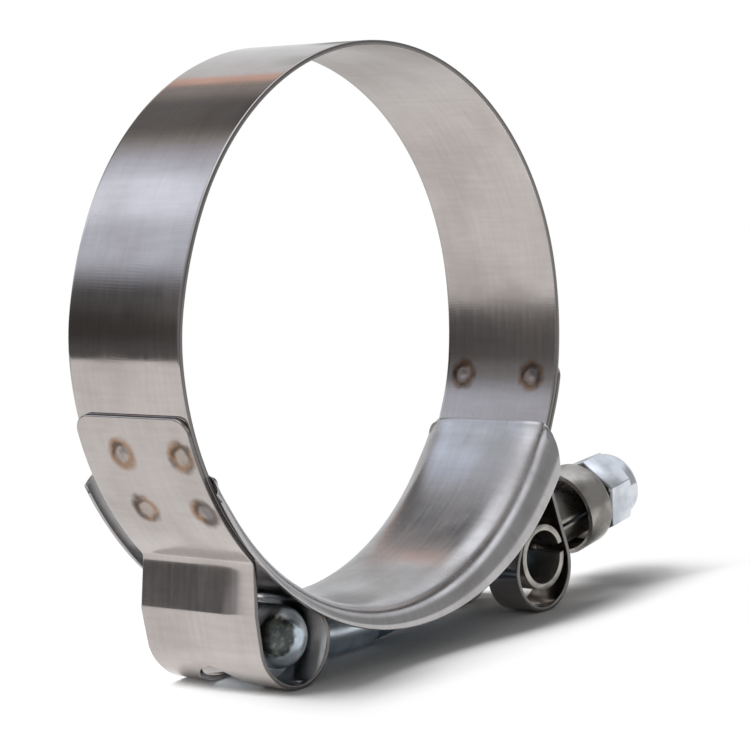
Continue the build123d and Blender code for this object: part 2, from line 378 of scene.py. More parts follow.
# Ring of heat tint, dull centre and dark crescent of one spot weld, in shares of its radius
tintShape = {
    "wobbleScale": 700.0,
    "wobble": 0.6,
    "ringRise": (0.48, 0.92),
    "ringFall": (1.0, 1.6),
    "crescentRise": (0.42, 0.72),
    "crescentFall": (0.8, 1.12),
    "crescentWay": (0.8, 0.6, 0.0),
    "crescentSide": (0.1, 0.65),
    "coreFall": (0.7, 1.0),
}


def makeTintGroup():
    tree, given, out = shaderGroup(
        "weldTint",
        [("Vector", "NodeSocketVector", None), ("Centre", "NodeSocketVector", (0, 0, 0)),
         ("Radius", "NodeSocketFloat", 1.6 * mm)],
        ["Ring", "Core", "Crescent"],
    )
    wobble = noise(tree, given["Vector"], tintShape["wobbleScale"], 2.0)
    apart = vectorCalc(tree, "DISTANCE", given["Vector"], given["Centre"])
    share = calc(tree, "DIVIDE", apart, given["Radius"])
    share = addShare(tree, share, wobble, tintShape["wobble"], middle=0.5)
    offset = vectorCalc(tree, "SUBTRACT", given["Vector"], given["Centre"])
    toSide = vectorCalc(tree, "DOT_PRODUCT", offset, tintShape["crescentWay"])
    toSide = calc(tree, "DIVIDE", toSide, given["Radius"])
    within = between(tree, share, tintShape["crescentRise"], tintShape["crescentFall"])
    crescent = calc(tree, "MULTIPLY", within, rescale(tree, toSide, *tintShape["crescentSide"]))
    ring = between(tree, share, tintShape["ringRise"], tintShape["ringFall"])
    core = rescale(tree, share, *tintShape["coreFall"], 1.0, 0.0)
    for socketName, value in (("Ring", ring), ("Core", core), ("Crescent", crescent)):
        tree.links.new(value, out.inputs[socketName])
    return tree


brushedLines = makeLinesGroup()
rubbedArcs = makeRubsGroup()
specks = makeSpecksGroup()
weldTint = makeTintGroup()
print("shared effects made")


# The band: one strip, folded back round a loop at each end
strip = {
    "width": 19 * mm,
    "thickness": 0.6 * mm,
    "edgeRound": 0.16 * mm,
    "boreRadius": 35 * mm,
    "layerGap": 0.05 * mm,
    "loopRadius": 5.85 * mm,
    "foldBendRadius": 4 * mm,
    "leftLoopAngle": 270 - 28.8,
    "rightLoopX": 28.8 * mm,
    "rightWallLean": 17.0,
    "leftFoldDrop": 10.2,
    "rightFoldDrop": 11.0,
    "cornerRound": 2.2 * mm,
    "easeSpan": 15.0,
    "leftEaseDrop": 1.0,
    "bridgeSeat": 0.65 * mm,  # the bridge's sheet and the gap over it
    "slotWidth": 8.5 * mm,
    "leftSlotAngles": (-105.0, -5.0),  # round the left loop
    "rightSlotRise": 3.5 * mm,
    "spacing": {"fold": 0.32 * mm, "loop": 0.3 * mm, "ring": 1.0 * mm},
    "cornerAngles": (32, 44, 56, 68, 80, 90),  # where the rows lie round the corners of the strip's ends
    "cornerClear": 0.1 * mm,
    "columns": 30,
    "sharpAngle": 40,
}
outerWall = {  # the left loop's outer wall stands out, as it does on the real clamp
    "lean": (0.165, 0.06),  # how steeply, at its far and near side
    "shift": (-4.0 * mm, -9.3 * mm),  # where across the strip one gives way to the other
    "ease": 0.8 * mm,
    "top": -25.2 * mm,
    "widest": -32 * mm,
    "foot": -42.5 * mm,
    "footPower": 0.7,
    "cornerReach": 1.2 * mm,  # the corner at its top is softened this far round
    "cornerPasses": 4,
}
welds = {
    "leftDrops": (17.8, 30.1),
    "leftY": (2.8 * mm, -7.2 * mm),
    "rightDrop": 15.8,
    "rightAlong": 2.9 * mm,
    "rightY": (6.5 * mm, -5.4 * mm),
    "ballRadius": 8 * mm,
    "depth": 0.16 * mm,
    "innerDepth": 0.05 * mm,
    "rimHeight": 0.025 * mm,
    "rimWidth": 0.25 * mm,
}


def stripPath():
    half = strip["thickness"] / 2
    ringMid = strip["boreRadius"] + half
    overMid = ringMid + strip["bridgeSeat"]
    pitch = strip["thickness"] + strip["layerGap"]
    outerMid = overMid + pitch
    loopMid = strip["loopRadius"] - half
    bend = strip["foldBendRadius"]
    ease = strip["easeSpan"]
    shift = (overMid - ringMid) / (2 * (1 - math.cos(math.radians(ease))))
    leftEnd = 180 + strip["leftEaseDrop"]
    leftLoop = unit(strip["leftLoopAngle"]) * (overMid + loopMid)
    rightLoop = np.array([strip["rightLoopX"], leftLoop[1]])
    reach = float(np.linalg.norm(rightLoop))
    leave = math.degrees(math.atan2(rightLoop[1], rightLoop[0]) + math.acos((overMid + loopMid) / reach))

    leftStart = leftLoop - np.array([loopMid + bend, 0])
    drop = float(leftStart @ leftStart)
    rise = -leftStart[1] - math.sqrt(leftStart[1] ** 2 - drop + (outerMid + bend) ** 2)
    leftBend = leftStart + np.array([0, rise])
    leftBendAngle = angleOf(leftBend) % 360

    wall, strand = unit(strip["rightWallLean"]), unit(leave)
    wallUp = np.array([-wall[1], wall[0]])
    rightStart = rightLoop + wall * (loopMid + bend)
    rightBend = rightStart + wallUp * ((outerMid + bend - rightStart @ strand) / (wallUp @ strand))

    rightTight, tightR, flatR = strand * shift, overMid - shift, ringMid + shift
    middle = leftEnd - 4 * ease - leave
    rightDrop, loopTurn = strip["rightFoldDrop"], leave - 180 - strip["rightWallLean"]
    leftTurn = 180 + strip["leftFoldDrop"] - leftBendAngle
    # From the right end round both loops to the left end, each with the spacing of its rows
    path = {
        "rightEnd": ("fold", arc(rightTight, tightR + pitch, -rightDrop, leave + rightDrop)),
        "rightFlat": ("fold", straight(strand * outerMid, rightBend - strand * bend)),
        "rightBend": ("fold", arc(rightBend, bend, leave + 180, strip["rightWallLean"] - leave)),
        "rightWall": ("loop", straight(rightBend - wall * bend, rightLoop + wall * loopMid)),
        "rightLoop": ("loop", arc(rightLoop, loopMid, strip["rightWallLean"], loopTurn)),
        "rightStrand": ("loop", straight(rightLoop - strand * loopMid, strand * overMid)),
        "rightSeat": ("fold", arc(rightTight, tightR, leave, ease)),
        "rightEase": ("ring", arc(unit(leave + 2 * ease) * -shift, flatR, leave + ease, ease)),
        "overTop": ("ring", arc((0, 0), ringMid, leave + 2 * ease, middle)),
        "leftEase": ("ring", arc(unit(leftEnd - 2 * ease) * -shift, flatR, leftEnd - 2 * ease, ease)),
        "leftSeat": ("ring", arc(unit(leftEnd) * shift, tightR, leftEnd - ease, ease)),
        "leftUnder": ("ring", arc((0, 0), overMid, leftEnd, strip["leftLoopAngle"] - leftEnd)),
        "leftLoop": ("loop", arc(leftLoop, loopMid, strip["leftLoopAngle"] - 180, -strip["leftLoopAngle"])),
        "leftWall": ("loop", straight(leftLoop - np.array([loopMid, 0]), leftBend - np.array([-bend, 0]))),
        "leftBend": ("fold", arc(leftBend, bend, 0, leftBendAngle - 180)),
        "leftEnd": ("fold", arc((0, 0), outerMid, leftBendAngle, leftTurn)),
    }
    places = {"leftLoop": leftLoop, "rightLoop": rightLoop, "leave": leave, "leftBendAngle": leftBendAngle,
              "tightR": tightR, "outerMid": outerMid, "foldR": tightR + pitch}
    return path, places


stretches, stripPlaces = stripPath()
rightSlotStretches = ("rightFlat", "rightBend", "rightWall", "rightLoop", "rightStrand", "rightSeat")
starts, stripLength = {}, 0.0
for stretchName, (_, stretchShape) in stretches.items():
    starts[stretchName] = stripLength
    stripLength += stretchShape["length"]


def weldPlaces():  # how far along the strip and across it each spot weld is, outside and inside
    outside, inside = [], []
    for y in welds["rightY"]:
        down = math.radians(welds["rightDrop"] - strip["rightFoldDrop"])
        outside.append((stripPlaces["foldR"] * down, y))
        outside.append((starts["rightFlat"] + welds["rightAlong"], y))
        up = math.radians(-welds["rightDrop"] - stripPlaces["leave"])
        inside.append((starts["rightSeat"] + stripPlaces["tightR"] * up, y))
    for drop in welds["leftDrops"]:
        for y in welds["leftY"]:
            down = math.radians(stripPlaces["leftBendAngle"] - 180 - drop)
            outside.append((starts["leftEnd"] + stripPlaces["outerMid"] * down, y))
    return outside, inside


outsideWelds, insideWelds = weldPlaces()


def slotHalf(name, point):  # half of the slot's width where the strip passes this point
    half = strip["slotWidth"] / 2
    if name == "leftLoop":
        low, high = strip["leftSlotAngles"]
        spoke = point - stripPlaces["leftLoop"]
        past = max(low - angleOf(spoke), angleOf(spoke) - high, 0)
        if past >= 90:
            return 0.0
        return math.sqrt(max(half**2 - (float(np.linalg.norm(spoke)) * math.sin(math.radians(past))) ** 2, 0))
    if name in rightSlotStretches:
        above = point[1] - stripPlaces["rightLoop"][1] - strip["rightSlotRise"]
        return math.sqrt(max(half**2 - max(above, 0) ** 2, 0))
    return 0.0


def leanWall(rows, centres, lean):  # the strip's mid line with the outer wall standing out, and its way on
    loop, ease = stripPlaces["leftLoop"], outerWall["ease"]
    widest, foot = outerWall["widest"], outerWall["foot"]
    wallX = loop[0] - strip["loopRadius"] + strip["thickness"] / 2
    bend = [centre for (name, _), centre in zip(rows, centres) if name == "leftBend"]
    corner = min(bend, key=lambda centre: abs(centre[1] - outerWall["top"]))
    swell = wallX - corner[0] + lean * (corner[1] - widest - ease / 2)
    moved = centres.copy()
    for r, ((name, _), (x, z)) in enumerate(zip(rows, centres)):
        if name not in ("leftLoop", "leftWall", "leftBend") or x > loop[0] or z > corner[1]:
            continue
        if z > widest:
            down = corner[1] - z
            moved[r, 0] = corner[0] - lean * (down - ease / 2 if down > ease else down**2 / (2 * ease))
        else:
            outward = min((loop[0] - x) / (loop[0] - wallX), 1.0)
            moved[r, 0] -= swell * outward * ((z - foot) / (widest - foot)) ** outerWall["footPower"]
    near = np.clip(2 - np.linalg.norm(centres - corner, axis=1) / outerWall["cornerReach"], 0, 1)[:, None]
    for _ in range(outerWall["cornerPasses"]):
        mean = moved.copy()
        mean[1:-1] = (moved[:-2] + 2 * moved[1:-1] + moved[2:]) / 4
        moved = moved + (mean - moved) * near
    ways = np.gradient(moved, axis=0)
    return moved, ways / np.linalg.norm(ways, axis=1)[:, None]


def stripRows():
    rows = []
    for name, (kind, stretch) in stretches.items():
        count = math.ceil(stretch["length"] / strip["spacing"][kind])
        rows += [(name, stretch["length"] * k / count) for k in range(count)]
    # Closer rows where the strip's own ends are rounded
    corner, (first, *_, last) = strip["cornerRound"], stretches
    near = sorted(roundSteps(strip["edgeRound"], edgeAngles) + roundSteps(corner, strip["cornerAngles"]))
    clear = corner + strip["cornerClear"]
    rows = [(name, d) for name, d in rows if clear < starts[name] + d < stripLength - clear]
    lastLength = stretches[last][1]["length"]
    return [(first, d) for d in near] + rows + [(last, lastLength - d) for d in reversed(near)]


def acrossStrip(fromEnd, slot):  # places from the strip's edge to its slot, and half its thickness there
    halfWidth, corner = strip["width"] / 2, strip["cornerRound"]
    reach = halfWidth
    if fromEnd < corner:
        reach = halfWidth - corner + math.sqrt(corner**2 - (corner - fromEnd) ** 2)
    steps = roundSteps(strip["edgeRound"], edgeAngles)
    inner = reach - steps[-1]
    rest = [inner + (slot - inner) * (k + 1) / strip["columns"] for k in range(strip["columns"])]
    across = np.array([reach - d for d in steps] + rest)
    depth = np.minimum(halfWidth - across, fromEnd)
    if fromEnd < corner:
        rounded = corner - np.hypot(corner - fromEnd, across - halfWidth + corner)
        depth = np.where(across > halfWidth - corner, rounded, depth)
    return across, roundedHalf(depth, strip["thickness"] / 2, strip["edgeRound"])


def weldRelief(along, y):  # how far the spot welds raise or sink the sheet's outer face here
    relief = np.zeros(len(y))
    for group, deep in ((outsideWelds, welds["depth"]), (insideWelds, welds["innerDepth"])):
        ball = welds["ballRadius"] * deep / welds["depth"]
        rim = math.sqrt(2 * ball * deep) + welds["rimWidth"]
        for weldAlong, weldY in group:
            apart = np.hypot(along - weldAlong, y - weldY)
            dish = np.sqrt(np.maximum(ball**2 - apart**2, 0)) - (ball - deep)
            relief += welds["rimHeight"] * np.exp(-(((apart - rim) / welds["rimWidth"]) ** 2))
            relief -= np.clip(dish, 0, None)
    return relief


def makeBandMesh():
    rows = stripRows()
    centres = np.array([walk(stretches[name][1], distance)[0] for name, distance in rows])
    farSide, nearSide = (leanWall(rows, centres, lean) for lean in outerWall["lean"])
    farY, nearY = outerWall["shift"]
    shells = []
    for sideSign in (-1, 1):
        faceA, faceB, places, openEdge = [], [], [], []
        for r, (name, distance) in enumerate(rows):
            along = starts[name] + distance
            slot = slotHalf(name, centres[r])
            across, thick = acrossStrip(min(along, stripLength - along), slot)
            y = across * sideSign
            share = smoothStep(np.clip((y - farY) / (nearY - farY), 0, 1))[:, None]
            point, way = (far[r] * (1 - share) + near[r] * share for far, near in zip(farSide, nearSide))
            for face, out in ((faceA, thick), (faceB, -thick - weldRelief(along, y))):
                x, z = point[:, 0] + way[:, 1] * out, point[:, 1] - way[:, 0] * out
                face.append(np.stack([x, y, z], axis=1))
            places.append(np.stack([np.full(len(y), along), y], axis=1))
            openEdge.append(slot > 0)
        shells.append(sheetShell(np.array(faceA), np.array(faceB), np.array(places), openEdge))
    return shellMesh("bandStrip", shells, strip["sharpAngle"])


# Bright rolled sheet: soft clouds, lines along the strip, rubbed arcs and a few specks
sheetLook = {
    "cloudScale": 95.0,
    "fineScale": 420.0,
    "crossScale": (130, 1600, 1),
    "alongScale": (1500, 160, 1),
    "cloudMix": (0.38, 0.68),
    "shade": (0.3, 0.7, 0.93, 1.06),
    "roughClouds": (0.3, 0.72),
    "fineRough": 0.06,
    "crossRough": 0.07,
    "pit": (0.16, 0.15, 0.14),
    "pitShare": 0.7,
    "backFrom": 0.37,  # on the UV map, the side towards the bore starts past this
    "metallic": 1.0,
}
stripLook = sheetLook | {
    "steel": (0.50, 0.462, 0.446),
    "dull": (0.44, 0.40, 0.38),
    "roughness": (0.055, 0.13),
    "backRoughness": 0.085,
    "cross": 0.5,
    "rubs": 0.4,
    "ripple": 0.9,
    "height": 0.0016 * mm,
}
weldLook = {
    "brown": (0.29, 0.17, 0.10),
    "burnt": (0.085, 0.058, 0.045),
    "core": (0.40, 0.335, 0.295),
    "coreDark": (0.15, 0.14, 0.145),
    "radius": 1.62 * mm,
    "patchScale": 330.0,
    "patchMix": (0.46, 0.60),
    "shares": {"Core": 0.8, "Ring": 0.85, "Crescent": 0.8},
    "coreRough": 0.16,
    "imprintScale": (2600, 500, 1),
    "imprint": 9.0,
}
edgeLook = {"colour": (0.21, 0.20, 0.195), "rough": 0.2, "from": 0.14 * mm, "to": 0.04 * mm}


def addEdge(tree, fromMiddle, colour, rough):  # the strip's cut edges are darker and duller
    halfWidth = strip["width"] / 2
    edge = rescale(tree, fromMiddle, halfWidth - edgeLook["from"], halfWidth - edgeLook["to"])
    return mixColour(tree, edge, colour, edgeLook["colour"]), addShare(tree, rough, edge, edgeLook["rough"])


def addWelds(tree, where, colour, rough, height):
    masks = {}
    for weldAlong, weldY in outsideWelds + insideWelds:
        centre = (weldAlong + backShift, weldY, 0)
        tint = useGroup(tree, weldTint, {"Vector": where, "Centre": centre, "Radius": weldLook["radius"]})
        for kind in weldLook["shares"]:
            masks[kind] = calc(tree, "MAXIMUM", masks[kind], tint[kind]) if kind in masks else tint[kind]
    burnt = rescale(tree, noise(tree, where, weldLook["patchScale"], 2.0), *weldLook["patchMix"])
    tones = {
        "Core": mixColour(tree, burnt, weldLook["core"], weldLook["coreDark"]),
        "Ring": mixColour(tree, burnt, weldLook["brown"], weldLook["burnt"]),
        "Crescent": weldLook["burnt"],
    }
    for kind, share in weldLook["shares"].items():
        colour = mixColour(tree, calc(tree, "MULTIPLY", masks[kind], share), colour, tones[kind])
    rough = addShare(tree, rough, masks["Core"], weldLook["coreRough"])
    imprint = calc(tree, "MULTIPLY", fineLines(tree, where, weldLook["imprintScale"], 1.0), masks["Core"])
    return colour, rough, addShare(tree, height, imprint, weldLook["imprint"])


def sheetFinish(name, look, welded=False):
    material, tree, shader = metalMaterial(name)
    where = place(tree, "ShaderNodeUVMap", uv_map="sheet").outputs[0]
    sides = place(tree, "ShaderNodeSeparateXYZ", {0: where}).outputs
    clouds = noise(tree, where, look["cloudScale"], 4.0)
    fineClouds = noise(tree, where, look["fineScale"], 3.0)
    cross = fineLines(tree, where, look["crossScale"], 3.0)
    along = fineLines(tree, where, look["alongScale"], 2.0)
    rubs = useGroup(tree, rubbedArcs, {"Vector": where})["Value"]
    pits = useGroup(tree, specks, {"Vector": where})["Mask"]

    colour = mixColour(tree, rescale(tree, clouds, *look["cloudMix"]), look["steel"], look["dull"])
    shade = calc(tree, "MULTIPLY", calc(tree, "ADD", cross, along), 0.5)
    level = rescale(tree, shade, *look["shade"], kind="LINEAR")
    grey = place(tree, "ShaderNodeCombineColor", {0: level, 1: level, 2: level}).outputs[0]
    colour = mixColour(tree, 1.0, colour, grey, blend="MULTIPLY")
    rough = rescale(tree, clouds, *look["roughClouds"], *look["roughness"])
    rough = addShare(tree, rough, fineClouds, look["fineRough"], middle=0.5)
    rough = addShare(tree, rough, cross, look["crossRough"], middle=0.5)
    height = addShare(tree, calc(tree, "MULTIPLY", cross, look["cross"]), rubs, look["rubs"])
    height = addShare(tree, height, fineClouds, look["ripple"])
    if welded:
        colour, rough, height = addWelds(tree, where, colour, rough, height)
        colour, rough = addEdge(tree, calc(tree, "ABSOLUTE", sides[1]), colour, rough)
    back = calc(tree, "GREATER_THAN", sides[0], look["backFrom"])
    rough = addShare(tree, rough, back, look["backRoughness"])
    colour = mixColour(tree, calc(tree, "MULTIPLY", pits, look["pitShare"]), colour, look["pit"])
    dressShader(tree, shader, colour, rough, height, look)
    return material


bandSteel = sheetFinish("bandSteel", stripLook, welded=True)
band = newPiece("bandStrip", makeBandMesh(), bandSteel)
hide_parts("band")
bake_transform(band)
print("band made,", len(band.data.polygons), "faces")


# The bridge: a channel pressed to the ring's curve, with rolled edges and slanted ends
bridge = {
    "middleAngle": -93.0,
    "halfSpan": 64.5,
    "sheet": 0.6 * mm,
    "bendRadius": 1.5 * mm,
    "sideClear": 0.05 * mm,
    "flangeHeight": 4 * mm,
    "endSlant": 59.5,
    "edgeRound": 0.16 * mm,
    "spacing": 0.6 * mm,
    "bendSpacing": 0.2 * mm,
    "flatSpacing": 0.4 * mm,
    # The bore's side rolls over gently: from here out, with this much crown, up to this high on the flange
    "rollStart": 4.5 * mm,
    "rollCrown": 0.35 * mm,
    "rollTop": 3.0 * mm,
    "rollPower": 2.6,
    "crownFade": 5 * mm,  # towards the slanted ends
    "leftCutShare": 0.5,  # the left end's cut goes back this much less
    "taperDrop": 1.9 * mm,  # the flanges are this much lower at the left end
    "taperAngles": (-45.0, -150.0),
    "sharpAngle": 40,
}
bridgeLook = sheetLook | {
    "steel": (0.47, 0.462, 0.468),
    "dull": (0.36, 0.345, 0.34),
    "roughness": (0.17, 0.31),
    "backRoughness": 0.28,
    "cross": 1.1,
    "rubs": 0.2,
    "ripple": 1.6,
    "height": 0.0018 * mm,
}


def bridgeCut(radius):  # how far back the slanted cut is at this radius, in degrees
    bore, slant = strip["boreRadius"], math.radians(bridge["endSlant"])
    away = -bore * math.cos(slant) + math.sqrt(radius**2 - (bore * math.sin(slant)) ** 2)
    return -angleOf(np.array([bore, 0]) + unit(-bridge["endSlant"]) * away)


def rolledEdge(radius, y, fromEnd):  # pulls a point of the bore's side onto the rolled form
    bore, start, power = strip["boreRadius"], bridge["rollStart"], bridge["rollPower"]
    top = bore + bridge["rollTop"]
    crown = bridge["rollCrown"] * smoothStep(min(fromEnd / bridge["crownFade"], 1.0))
    if radius >= top:
        return radius, y
    if abs(y) <= start:
        return radius - crown, y
    reach = strip["width"] / 2 + bridge["sideClear"] + bridge["bendRadius"] + bridge["sheet"] - start
    out, down = (abs(y) - start) / reach, (top - radius) / (top - bore + crown)
    pull = (out**power + down**power) ** (-1 / power)
    return top - (top - radius) * pull, math.copysign(start + (abs(y) - start) * pull, y)


def flangeDrop(angle, radius):  # how much lower a point of the flange lies because of the taper
    start, end = bridge["taperAngles"]
    share = min(max((start - angle) / (start - end), 0.0), 1.0)
    foot = strip["boreRadius"] + bridge["bendRadius"] + bridge["sheet"]
    top = strip["boreRadius"] + bridge["flangeHeight"] - bridge["edgeRound"]
    return bridge["taperDrop"] * share * min(max((radius - foot) / (top - foot), 0.0), 1.0)


def bridgeColumns():  # each column's stretch of the section, and how far along it and along the whole
    half, bore = bridge["sheet"] / 2, strip["boreRadius"]
    bend = bridge["bendRadius"] + half
    side = strip["width"] / 2 + bridge["sideClear"]
    floorR, top = bore + half, bore + bridge["flangeHeight"]
    section = [
        straight((top, side + bend), (floorR + bend, side + bend)),
        arc((floorR + bend, side), bend, 90, 90),
        straight((floorR, side), (floorR, -side)),
        arc((floorR + bend, -side), bend, 180, 90),
        straight((floorR + bend, -side - bend), (top, -side - bend)),
    ]
    columns, before = [], 0.0
    for stretch in section:
        spacing = bridge["bendSpacing"] if "radius" in stretch else bridge["flatSpacing"]
        count = math.ceil(stretch["length"] / spacing)
        distances = [stretch["length"] * k / count for k in range(count)]
        columns += [(stretch, d, before + d) for d in distances]
        before += stretch["length"]
    steps, last = roundSteps(bridge["edgeRound"], edgeAngles), section[-1]
    columns = [c for c in columns if bridge["edgeRound"] < c[2] < before - bridge["edgeRound"]]
    columns = [(section[0], d, d) for d in steps] + columns
    return columns + [(last, last["length"] - d, before - d) for d in reversed(steps)], before


def makeBridgeMesh():
    half, bore = bridge["sheet"] / 2, strip["boreRadius"]
    columns, total = bridgeColumns()
    steps = roundSteps(bridge["edgeRound"], edgeAngles)
    count = math.ceil(2 * math.radians(bridge["halfSpan"]) * bore / bridge["spacing"])
    # Each row's share of the way from the left end to the right, and how far in from an end it lies
    rows = [(0.0, d) for d in steps] + [(k / count, 0.0) for k in range(1, count)]
    rows += [(1.0, -d) for d in reversed(steps)]
    first, last = bridge["middleAngle"] - bridge["halfSpan"], bridge["middleAngle"] + bridge["halfSpan"]
    faceA = np.zeros((len(rows), len(columns), 3))
    faceB = np.zeros((len(rows), len(columns), 3))
    places = np.zeros((len(rows), len(columns), 2))
    for c, (stretch, distance, across) in enumerate(columns):
        (radius, y), way = walk(stretch, distance)
        for r, (share, inset) in enumerate(rows):
            depth = min(across, total - across, abs(inset) if share in (0.0, 1.0) else half)
            thick = float(roundedHalf(np.array(depth), half, bridge["edgeRound"]))
            drop = flangeDrop(first + (last - first) * share, radius)
            for face, sign in ((faceA, 1), (faceB, -1)):
                outR, outY = sign * way[1], -sign * way[0]
                faceRadius, faceY = radius + outR * thick, y + outY * thick
                cut = bridgeCut(max(faceRadius, bore))
                low, high = first + cut * bridge["leftCutShare"], last - cut
                angle = low + (high - low) * share + math.degrees(inset / faceRadius)
                if outR < -0.001 or outY * y > 0:  # the side towards the bore, and the flanges' outer sides
                    fromEnd = math.radians(min(angle - low, high - angle)) * bore
                    full = radius + outR * half, y + outY * half
                    rolled = rolledEdge(*full, fromEnd)
                    faceRadius += rolled[0] - full[0]
                    faceY += rolled[1] - full[1]
                spoke = unit(angle) * (faceRadius - drop)
                face[r, c] = (spoke[0], faceY, spoke[1])
            places[r, c] = (math.radians(angle) * bore, across)
    shell = sheetShell(faceA, faceB, places, [True] * len(rows))
    return shellMesh("bridgeChannel", [shell], bridge["sharpAngle"])


bridgePiece = newPiece("bridgeChannel", makeBridgeMesh(), sheetFinish("bridgeSteel", bridgeLook))
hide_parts("bridge")
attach(bridgePiece, "bridge")
print("bridge made,", len(bridgePiece.data.polygons), "faces")


# The bolt's own places, as the frame's solids have them
bolt = {
    "slope": 9.5,
    "barrel": (28.904 * mm, -34.894 * mm),
    "head": (-18.847 * mm, -36.266 * mm),
    "seat": 21.1 * mm,  # from the barrel's centre to where the nut bears on the collar
    "bendRadius": 60 * mm,
    "threadBend": 6.5,  # degrees of the bend that the thread runs into
    "neckOverlap": 0.05,  # degrees that the neck runs short of that
    "crest": 2.9 * mm,
    "root": 2.36 * mm,
    "flank": (0.14, 0.86),
    "pitch": 1.0 * mm,
    "fade": 1.6 * mm,
    "end": 28.85 * mm,
    "chamfer": 0.7 * mm,
    "sides": 40,
    "rowsPerTurn": 10,
    "neckSharpAngle": 35,
    "threadSharpAngle": 50,
}
boltWay, boltUp = unit(bolt["slope"]), unit(bolt["slope"] + 90)
barrelPoint = np.array(bolt["barrel"])
headUp = (np.array(bolt["head"]) - barrelPoint) @ boltUp
headBack = (np.array(bolt["head"]) - barrelPoint) @ boltWay
bendStart = headBack + math.sqrt(2 * bolt["bendRadius"] * headUp - headUp**2)


# Turned and pressed pieces: plate or bare steel, with grime and wear, and some painted shade, on Object
# coordinates
partLook = {
    "metallic": 1.0,
    "fineScale": 1400.0,
    "cloudMix": (0.4, 0.66),
    "roughClouds": (0.3, 0.7),
    "fineRough": 0.08,
    "pitCell": 1.2 * mm,
    "pitSize": 0.1,
    "pitShare": 0.35,
}
boltLook = partLook | {
    "bright": (0.36, 0.46, 0.56),
    "dull": (0.17, 0.21, 0.25),
    "dark": (0.06, 0.06, 0.05),
    "cloudScale": 260.0,
    "lines": (300, 300, 300),
    "lineDepth": 0.4,
    "pits": 0.5,
    "roughness": (0.16, 0.32),
    "height": 0.002 * mm,
}
# The head and neck wear a much lighter copy of the thread's zinc: a painted highlight, for the light on the
# neck and the pale crescent on the head's end
headLitLook = boltLook | {
    "bright": (0.82, 0.92, 0.99),
    "dull": (0.58, 0.68, 0.78),
    "roughness": (0.30, 0.44),
    "endShade": {  # painted shade, mottled, on the near end of the head's bar; its rim leaves the pale crescent
        "centre": (-21.2 * mm, -7.0 * mm, -35.6 * mm),
        "radius": 2.5 * mm,
        "soft": 0.3 * mm,
        "ragged": 1.0 * mm,
        "share": 0.9,
        "colour": (0.03, 0.032, 0.024),
        "spots": (0.12, 0.125, 0.09),
        "spotMix": (0.45, 0.62),
    },
}
trunnionLook = partLook | {
    "bright": (0.43, 0.41, 0.38),
    "dull": (0.28, 0.265, 0.24),
    "dark": (0.05, 0.045, 0.04),
    "cloudScale": 320.0,
    "lines": (2600, 260, 2600),
    "lineDepth": 1.5,
    "pits": 0.7,
    "roughness": (0.26, 0.42),
    "height": 0.003 * mm,
}
collarLook = partLook | {
    "bright": (0.37, 0.355, 0.335),
    "dull": (0.23, 0.217, 0.20),
    "dark": (0.07, 0.065, 0.06),
    "cloudScale": 280.0,
    "lines": (300, 2400, 2400),
    "lineDepth": 1.2,
    "pits": 0.5,
    "roughness": (0.22, 0.36),
    "height": 0.0025 * mm,
    "seatShade": (0.2 * mm, 0.9 * mm),  # painted shade fades between these distances from the nut's seat
}
nutLook = partLook | {
    "bright": (0.68, 0.71, 0.76),
    "dull": (0.50, 0.53, 0.58),
    "dark": (0.12, 0.115, 0.11),
    "cloudScale": 300.0,
    "lines": (500, 500, 500),
    "lineDepth": 0.5,
    "pits": 0.4,
    "roughness": (0.10, 0.17),
    "height": 0.003 * mm,
    # painted shade on the nut by its seat on the collar
    "seatShade": (0.55 * mm, 1.0 * mm),
}
nylonLook = partLook | {
    "bright": (0.72, 0.72, 0.69),
    "dull": (0.62, 0.61, 0.57),
    "dark": (0.3, 0.28, 0.25),
    "cloudScale": 500.0,
    "lines": (800, 800, 800),
    "lineDepth": 0.3,
    "pits": 0.2,
    "roughness": (0.42, 0.55),
    "height": 0.003 * mm,
    "metallic": 0.0,
}
# how dark the painted shade at the nut's seat gets
seatShadeShare = 0.85


# Painted shade, mottled, over a round patch with a ragged rim
def addEndShade(tree, where, fine, colour, endShade):
    apart = vectorCalc(tree, "DISTANCE", where, endShade["centre"])
    apart = addShare(tree, apart, fine, endShade["ragged"], middle=0.5)
    mask = rescale(tree, apart, endShade["radius"] - endShade["soft"], endShade["radius"] + endShade["soft"], 1.0, 0.0)
    mottled = mixColour(tree, rescale(tree, fine, *endShade["spotMix"]), endShade["colour"], endShade["spots"])
    return mixColour(tree, calc(tree, "MULTIPLY", mask, endShade["share"]), colour, mottled)


def addSeatShade(tree, where, colour, look):  # painted shade where the nut bears on the collar
    along = vectorCalc(tree, "DOT_PRODUCT", where, (boltWay[0], 0, boltWay[1]))
    past = calc(tree, "SUBTRACT", along, float(boltWay @ barrelPoint) + bolt["seat"])
    mask = rescale(tree, calc(tree, "ABSOLUTE", past), *look["seatShade"], 1.0, 0.0)
    return mixColour(tree, calc(tree, "MULTIPLY", mask, seatShadeShare), colour, look["dark"])


